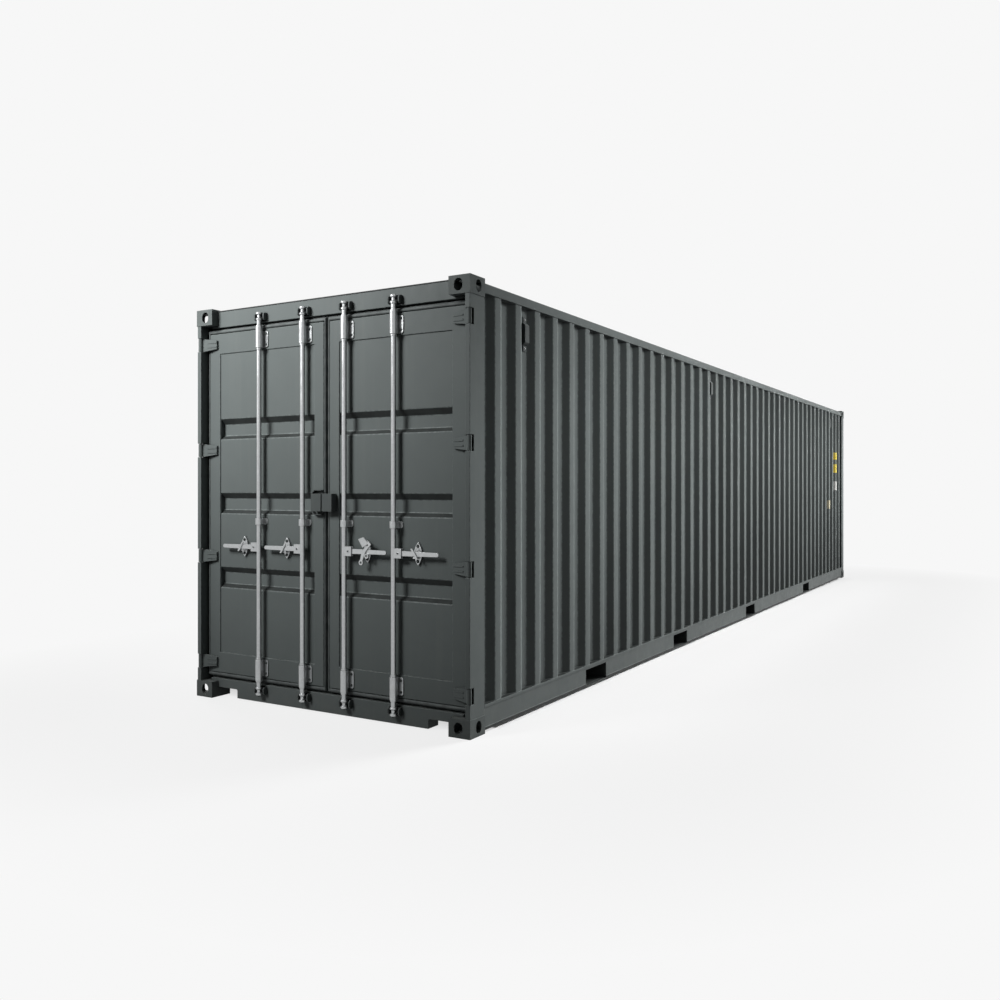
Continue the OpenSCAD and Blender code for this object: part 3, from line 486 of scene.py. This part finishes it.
# The bottom rails and fork pockets take painted shade on their level faces, and the rails also on their
# lower strip
for name in ("bottom_rail_left", "bottom_rail_right"):
    rounded(name, FORMED, LEVEL_PAINTED_SHADE, RAIL_FOOT_Z)
rounded("fork_pockets", FORGED, LEVEL_PAINTED_SHADE)
for name in ("side_wall_left", "side_wall_right", "front_wall", "roof"):
    rounded(name, BENT)
# The door panels take painted shade on the slopes of their bands
for name in ("left_door_panel", "right_door_panel"):
    rounded(name, PRESSED, SLOPES_PAINTED_SHADE)
for name in ("left_rod_bearings", "right_rod_bearings", "hinge_lugs", "cam_keepers", "vents"):
    rounded(name, FORGED)
for name in ("left_door_hinges", "right_door_hinges"):
    rounded(name, FORGED, material=MATERIALS["paint"])
# Handles and catches take a lighter copy of the zinc, painted light
for name in ("left_handle_catches", "right_handle_catches", "handle_left_outer", "handle_left_inner",
             "handle_right_inner", "handle_right_outer"):
    rounded(name, FORGED, material=LIGHTENED_HANDLE_FINISH)
for name in ("rod_left_outer", "rod_left_inner", "rod_right_inner", "rod_right_outer",
             "left_lock_guard", "right_lock_box"):
    rounded(name, TURNED)

# Door seals: a round bead and a lip, across a seal by shares of its width, and in depth behind its front
SEAL_BEAD_MIDDLE = 0.45
SEAL_BEAD_HALF = 0.39
SEAL_BEAD_DEPTH = 0.020
SEAL_BEAD_STEPS = 12
SEAL_LIP_BEND = 0.95
SEAL_EDGE_DEPTH = 0.026


def seal_profile():
    """Points (share of the width from the door's edge, depth) across the front of a seal."""
    turns = [math.pi * (k / SEAL_BEAD_STEPS - 0.5) for k in range(SEAL_BEAD_STEPS + 1)]
    round_part = [(SEAL_BEAD_MIDDLE + SEAL_BEAD_HALF * math.sin(a), SEAL_BEAD_DEPTH * (1 - math.cos(a)))
                  for a in turns]
    return [(0.0, SEAL_EDGE_DEPTH), *round_part, (SEAL_LIP_BEND, SEAL_BEAD_DEPTH), (1.0, SEAL_EDGE_DEPTH)]


def door_seal(side):
    """A lipped rubber seal round a door, mitred at its corners."""
    node = f"{side}_door_gasket"
    leaf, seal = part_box(f"{side}_door_frame"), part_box(node)
    depth = seal[1].y - seal[0].y
    bm = bmesh.new()
    rows = []
    for share, back in (*seal_profile(), (1.0, depth), (0.0, depth)):
        low, high = (inner.lerp(outer, share) for inner, outer in zip(leaf, seal))
        y = seal[0].y + back
        rows.append([bm.verts.new((x, y, z)) for x, z in
                     ((low.x, low.z), (high.x, low.z), (high.x, high.z), (low.x, high.z))])
    for a, b in zip(rows, rows[1:] + rows[:1]):
        for k in range(4):
            bm.faces.new((a[k - 1], a[k], b[k], b[k - 1]))
    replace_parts(piece(f"{side}_door_seal", bm, f"{side}_door", "rubber"), node)


# Bolts. A washer and a head give their radius and height as shares of the bolt's radius, and their sides
BOLT_R = 0.0065
GUIDE_BOLT_R = 0.55 * BOLT_R
CATCH_BOLT_R = 1.2 * BOLT_R
PIVOT_BOLT_R = 0.6 * BOLT_R
WASHER = (1.5, 0.3, 24)
HEAD = (1.0, 1.1, 6)
BOLT_TAPER = 0.92

# Where bolts sit: thickness of the plates under them, distances from edges and middles, and the height that
# tells rod guides from the taller end bearings
BASE_PLATE_T = 0.008
BASE_PLATE_INSET = 0.077
GUIDE_MAX_H = 0.1
PLATE_BOLT_INSET = 0.016
BASE_BOLT_REACH = 0.038
GUIDE_BOLT_REACH = 0.011
CATCH_PLATE_T = 0.016
CATCH_BOLT_SHARE = 0.33
VENT_TAB_T = 0.005
VENT_BOLT_INSET = 0.022


def bolt_heads(name, places, facing, radius, body, slot):
    """Washers and hexagon heads at places, looking along facing."""
    bm = bmesh.new()
    turn = facing.to_track_quat("Z", "Y").to_matrix().to_4x4()
    for place in places:
        for wide, tall, sides in (WASHER, HEAD):
            r, h = wide * radius, tall * radius
            seat = Matrix.Translation(Vector(place) + facing * h / 2) @ turn
            bmesh.ops.create_cone(bm, cap_ends=True, segments=sides, radius1=r, radius2=BOLT_TAPER * r,
                                  depth=h, matrix=seat)
    piece(name, bm, body, slot)


def bearing_bolts(side):
    """Four bolts on the base plate of each end bearing, and four small ones on each rod guide."""
    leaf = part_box(f"{side}_door_frame")
    ends, guides = [], []
    for low, high in islands(f"{side}_rod_bearings"):
        middle = (low + high) / 2
        reach_x = (high.x - low.x) / 2 - PLATE_BOLT_INSET
        z, reach_z, places = middle.z, GUIDE_BOLT_REACH, guides
        if high.z - low.z > GUIDE_MAX_H:
            top = middle.z > (leaf[0].z + leaf[1].z) / 2
            z = leaf[1].z - BASE_PLATE_INSET if top else leaf[0].z + BASE_PLATE_INSET
            reach_z, places = BASE_BOLT_REACH, ends
        places += [(middle.x + i * reach_x, high.y - BASE_PLATE_T, z + k * reach_z)
                   for i in (-1, 1) for k in (-1, 1)]
    bolt_heads(f"{side}_bearing_bolts", ends, OUT_OF_DOORS, BOLT_R, f"{side}_door", "dark_paint")
    bolt_heads(f"{side}_guide_bolts", guides, OUT_OF_DOORS, GUIDE_BOLT_R, f"{side}_door", "galvanised")


def catch_bolts(side):
    """Two bolts on each handle catch."""
    places = []
    for low, high in islands(f"{side}_handle_catches"):
        middle = (low + high) / 2
        reach = CATCH_BOLT_SHARE * (high.z - low.z)
        places += [(middle.x, high.y - CATCH_PLATE_T, middle.z + k * reach) for k in (-1, 1)]
    bolt_heads(f"{side}_catch_bolts", places, OUT_OF_DOORS, CATCH_BOLT_R, f"{side}_door", "dark_paint")


def pivot_bolts(side):
    """A bolt head on the pivot pin of each of a door's handles."""
    for place in ("inner", "outer"):
        joint = JOINTS[f"{side}_{place}_handle_lift"]
        x, _, z = joint["pos_m"]
        pin = skin(f"rod_{side}_{place}").ray_cast(Vector((x, LOW.y - RAY_START, z)), FORWARD)[0]
        bolt_heads(f"{side}_{place}_pivot_bolt", [pin], OUT_OF_DOORS, PIVOT_BOLT_R, joint["parent"],
                   "dark_paint")


def vent_bolts():
    """A bolt on each tab of the vents."""
    for side, sign in SIDES:
        places = []
        for low, high in islands("vents"):
            middle = (low + high) / 2
            if middle.x * sign > 0:
                x = sign * (min(abs(low.x), abs(high.x)) + VENT_TAB_T)
                reach = high.z - middle.z - VENT_BOLT_INSET
                places += [(x, middle.y, middle.z + k * reach) for k in (-1, 1)]
        bolt_heads(f"{side}_vent_bolts", places, Vector((sign, 0, 0)), BOLT_R, "container", "galvanised")


# Welds, and the dark bead of painted shade on the door header: radii, and widths of the posts' end faces
WELD_R = 0.003
DOOR_POST_FACE = 0.036
FRONT_POST_FACE = 0.108
SHADE_BEAD_R = 0.0055
SHADE_BEAD_INSET = 0.4 * SHADE_BEAD_R
SHADE_BEAD_SIDES = 10


def wall_line(node, sign):
    """The outer line of a side wall's corrugation, as points (x, y), with y to a tenth of a millimetre."""
    outer = {}
    for vert in NODES[node].data.vertices:
        y = round(vert.co.y, 4)
        outer[y] = max(outer.get(y, 0.0), abs(vert.co.x))
    return [(sign * x, y) for y, x in sorted(outer.items())]


def frame_welds():
    """Beads where walls and roof meet their rails, and where posts meet castings."""
    bm = bmesh.new()
    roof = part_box("roof")
    for side, sign in SIDES:
        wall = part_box(f"side_wall_{side}")
        line = wall_line(f"side_wall_{side}", sign)
        for z in (wall[0].z, wall[1].z):
            bead(bm, [(x, y, z) for x, y in line], WELD_R, UP)
        bead(bm, [(sign * roof[1].x, y, roof[0].z) for y in (roof[0].y, roof[1].y)], WELD_R, UP)
        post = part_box(f"door_post_{side}")
        edge = max(abs(post[0].x), abs(post[1].x))
        door_end = [(edge - DOOR_POST_FACE, post[0].y), (edge, post[0].y), (edge, post[1].y)]
        front_end = [(edge - FRONT_POST_FACE, -post[0].y), (edge, -post[0].y), (edge, -post[1].y)]
        for z in (post[0].z, post[1].z):
            for run in (door_end, front_end):
                bead(bm, [(sign * x, y, z) for x, y in run], WELD_R, UP)
    piece("frame_welds", bm, "container", "paint")


def panel_welds(side):
    """A bead round a door panel, where it meets the frame."""
    low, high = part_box(f"{side}_door_panel")
    bm = bmesh.new()
    corners = ((low.x, low.z), (high.x, low.z), (high.x, high.z), (low.x, high.z), (low.x, low.z))
    for run in zip(corners, corners[1:]):
        bead(bm, [(x, low.y, z) for x, z in run], WELD_R, FORWARD)
    piece(f"{side}_panel_welds", bm, f"{side}_door", "paint")


def header_shade_bead():
    """A dark bead along the top edge of the door header: painted shade where the roof's edge casts its
    shadow.
    """
    low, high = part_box("door_header")
    y, z = low.y + SHADE_BEAD_INSET, high.z - SHADE_BEAD_INSET
    bm = bmesh.new()
    bead(bm, [(x, y, z) for x in (low.x, high.x)], SHADE_BEAD_R, UP, SHADE_BEAD_SIDES)
    piece("header_shade_bead", bm, "container", "rubber", seal_rubber("header_shade_bead", SHADE_BEAD_COLOUR))


# Blank labels on the right wall: distance from the door end, width, height above ground, height, colour
Label = namedtuple("Label", "along width low height colour")
LABELS = (
    Label(11.36, 0.30, 2.04, 0.115, YELLOW_FILM),
    Label(11.36, 0.30, 1.82, 0.14, YELLOW_FILM),
    Label(11.44, 0.25, 1.52, 0.15, PALE_FILM),
    Label(10.93, 0.21, 1.22, 0.135, BUFF_FILM),
)
LABEL_LIFT = 0.0015
LABEL_T = 0.002
LABEL_STEP = 0.006


def wall_label(name, label):
    """A film that follows the corrugation."""
    wall = skin("side_wall_right")
    top = label.low + label.height
    bm = bmesh.new()
    columns = []
    for k in range(round(label.width / LABEL_STEP) + 1):
        y = LOW.y + label.along + k * LABEL_STEP
        hit = wall.ray_cast(Vector((HIGH.x + RAY_START, y, label.low)), Vector((-1, 0, 0)))[0]
        front = hit.x + LABEL_LIFT
        back = front - LABEL_T
        columns.append([bm.verts.new((x, y, z)) for x, z in
                        ((front, label.low), (front, top), (back, top), (back, label.low))])
    for a, b in zip(columns, columns[1:]):
        for k in range(4):
            bm.faces.new((a[k - 1], a[k], b[k], b[k - 1]))
    for end in (columns[0], columns[-1]):
        bm.faces.new(end)
    piece(name, bm, "container", "paint", blank_film(name, label.colour))


# Screws in the floor
SCREW_R = 0.006
SCREW_TOP_R = 0.7 * SCREW_R
SCREW_H = 0.2 * SCREW_R
SCREW_SIDES = 10
SCREW_PITCH = 0.19


def floor_screws():
    """A row of screw heads over each crossmember."""
    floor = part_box("floor")
    count = int((floor[1].x - floor[0].x) / SCREW_PITCH)
    bm = bmesh.new()
    for low, high in islands("crossmembers"):
        for i in range(count):
            x = (i - (count - 1) / 2) * SCREW_PITCH
            seat = Matrix.Translation((x, (low.y + high.y) / 2, floor[1].z))
            bmesh.ops.create_cone(bm, cap_ends=True, segments=SCREW_SIDES, radius1=SCREW_R,
                                  radius2=SCREW_TOP_R, depth=SCREW_H, matrix=seat)
    piece("floor_screws", bm, "container", "galvanised")


for side, _ in SIDES:
    door_seal(side)
    bearing_bolts(side)
    catch_bolts(side)
    pivot_bolts(side)
    panel_welds(side)
vent_bolts()
frame_welds()
header_shade_bead()
for i, label in enumerate(LABELS):
    wall_label(f"blank_label_{i}", label)
floor_screws()

# CAD nodes that no piece stands for take the finish of their slot
for name, obj in NODES.items():
    if not obj.hide_render:
        obj.data.materials.clear()
        obj.data.materials.append(MATERIALS[SLOTS[name]])

# Floor and background
FLOOR_REACH = 300.0
WORLD_FILL = 0.07
SHADOW_REACH = 3.0
SHADOW_INSET = 0.35
# Share of the floor's look that takes shadow, at shares of the reach from the container's edge
SHADOW_SHARES = ((0.0, 0.95), (0.01, 0.35), (0.08, 0.15), (1.0, 0.0))


def bare_tree(owner):
    """The tree of a new material or world, with no nodes in it."""
    owner.use_nodes = True
    owner.node_tree.nodes.clear()
    return Tree(owner.node_tree)


def seen_directly(tree):
    """One for camera, glossy and transmission rays, and nought for the light that surfaces scatter."""
    path = tree.add("ShaderNodeLightPath").outputs
    seen = tree.math("MAXIMUM", path["Is Camera Ray"], path["Is Glossy Ray"])
    return tree.math("MAXIMUM", seen, path["Is Transmission Ray"])


def shadow_share(tree):
    """How much of the floor takes shadow: nearly all under the container, and less and less outside."""
    place = tree.add("ShaderNodeTexCoord").outputs["Object"]
    edge = (HIGH.x, HIGH.y - SHADOW_INSET, 0.0)
    past_edge = tree.vector("SUBTRACT", tree.vector("ABSOLUTE", place), edge)
    outside = tree.vector("MAXIMUM", past_edge, (0.0, 0.0, 0.0))
    distance = tree.vector("LENGTH", outside, out="Value")
    ramp = tree.add("ShaderNodeValToRGB", {"Fac": tree.span(distance, low=0.0, high=SHADOW_REACH)})
    stops = ramp.color_ramp.elements
    while len(stops) < len(SHADOW_SHARES):
        stops.new(0.5)
    for stop, (position, share) in zip(stops, SHADOW_SHARES):
        stop.position = position
        stop.color = (share, share, share, 1.0)
    return ramp.outputs["Color"]


def studio_floor():
    """A wide pale floor that takes soft shadow near the container and sends little light back up."""
    material = bpy.data.materials.new("studio_floor")
    tree = bare_tree(material)
    pale = tree.add("ShaderNodeBsdfDiffuse", {"Color": BACKGROUND})
    glow = tree.add("ShaderNodeEmission", {"Color": BACKGROUND})
    bounce = tree.add("ShaderNodeBsdfDiffuse", {"Color": FLOOR_BOUNCE})
    shown = tree.choose(shadow_share(tree), glow, pale)
    look = tree.choose(seen_directly(tree), bounce, shown)
    tree.add("ShaderNodeOutputMaterial", {"Surface": look.outputs[0]})
    bm = bmesh.new()
    bmesh.ops.create_grid(bm, x_segments=1, y_segments=1, size=FLOOR_REACH)
    finished(bm, "studio_floor", material)


def studio_world():
    """A pale background that lights the scene only a little."""
    world = bpy.data.worlds.new("studio")
    bpy.context.scene.world = world
    tree = bare_tree(world)
    fill = tree.add("ShaderNodeBackground", {"Color": BACKGROUND, "Strength": WORLD_FILL})
    shown = tree.add("ShaderNodeBackground", {"Color": BACKGROUND})
    look = tree.choose(seen_directly(tree), fill, shown)
    tree.add("ShaderNodeOutputWorld", {"Surface": look.outputs[0]})


# Lamps
Lamp = namedtuple("Lamp", "place target size watts spread_deg")
DOOR_KEY = Lamp(place=(-2.2, LOW.y - 4.2, 5.2), target=(-1.05, LOW.y, 3.0), size=(2.3, 2.3),
                watts=89, spread_deg=60.0)
LEFT_FILL = Lamp(place=(LOW.x - 6.0, 0.0, 4.5), target=(LOW.x, 0.0, 1.3), size=(9.0, 1.5),
                 watts=330, spread_deg=100.0)
ROOF_FILL = Lamp(place=(0.0, 0.0, 7.0), target=(0.0, 0.0, HIGH.z), size=(1.2, 10.0),
                 watts=90, spread_deg=40.0)

# The row of lamps along the right wall: how far outside it they hang, how far past their targets toward the
# front end, and their heights and watts at the row's door end and front end
SIDE_LAMPS = 7
SIDE_LAMP_OUT = 2.8
SIDE_LAMP_PAST = 5.4
SIDE_LAMP_Z = (4.6, 3.0)
SIDE_LAMP_WATTS = (24, 46)
SIDE_LAMP_SIZE = (1.2, 1.2)
SIDE_LAMP_SPREAD_DEG = 42.0
SIDE_TARGET_Z = 1.5


def side_key(share):
    """A lamp that shines back at the right wall, at a share of its length from the doors."""
    y = LOW.y + share * (HIGH.y - LOW.y)
    z, watts = (near + share * (far - near) for near, far in (SIDE_LAMP_Z, SIDE_LAMP_WATTS))
    return Lamp(place=(HIGH.x + SIDE_LAMP_OUT, y + SIDE_LAMP_PAST, z), target=(HIGH.x, y, SIDE_TARGET_Z),
                size=SIDE_LAMP_SIZE, watts=watts, spread_deg=SIDE_LAMP_SPREAD_DEG)


def softbox(name, lamp):
    """A soft rectangular light in the scene."""
    light = bpy.data.lights.new(name, "AREA")
    light.shape = "RECTANGLE"
    light.size, light.size_y = lamp.size
    light.energy = lamp.watts
    light.spread = math.radians(lamp.spread_deg)
    obj = bpy.data.objects.new(name, light)
    bpy.context.scene.collection.objects.link(obj)
    obj.location = lamp.place
    obj.rotation_euler = (Vector(lamp.target) - Vector(lamp.place)).to_track_quat("-Z", "Y").to_euler()
    return obj


def studio_lamps():
    """A soft lamp before the doors, a row along the right wall, and two long fills."""
    softbox("door_key", DOOR_KEY)
    # Glossy surfaces don't show the other lamps, so that these leave no glare
    others = {f"side_key_{i}": side_key(i / (SIDE_LAMPS - 1)) for i in range(SIDE_LAMPS)}
    others.update(left_fill=LEFT_FILL, roof_fill=ROOF_FILL)
    for name, lamp in others.items():
        softbox(name, lamp).visible_glossy = False


def photo_camera():
    """The camera, level and shifted, as the photograph was taken."""
    camera = bpy.data.cameras.new("photo_camera")
    camera.sensor_width = SENSOR_MM
    camera.lens = LENS_MM
    camera.shift_y = SHIFT_UP
    obj = bpy.data.objects.new("photo_camera", camera)
    bpy.context.scene.collection.objects.link(obj)
    obj.location = CAMERA_PLACE
    obj.rotation_euler = (math.radians(LEVEL_DEG), 0.0, math.radians(CAMERA_TURN_DEG))
    bpy.context.scene.camera = obj


studio_floor()
studio_world()
studio_lamps()
photo_camera()
bpy.context.scene.view_settings.view_transform = "Standard"
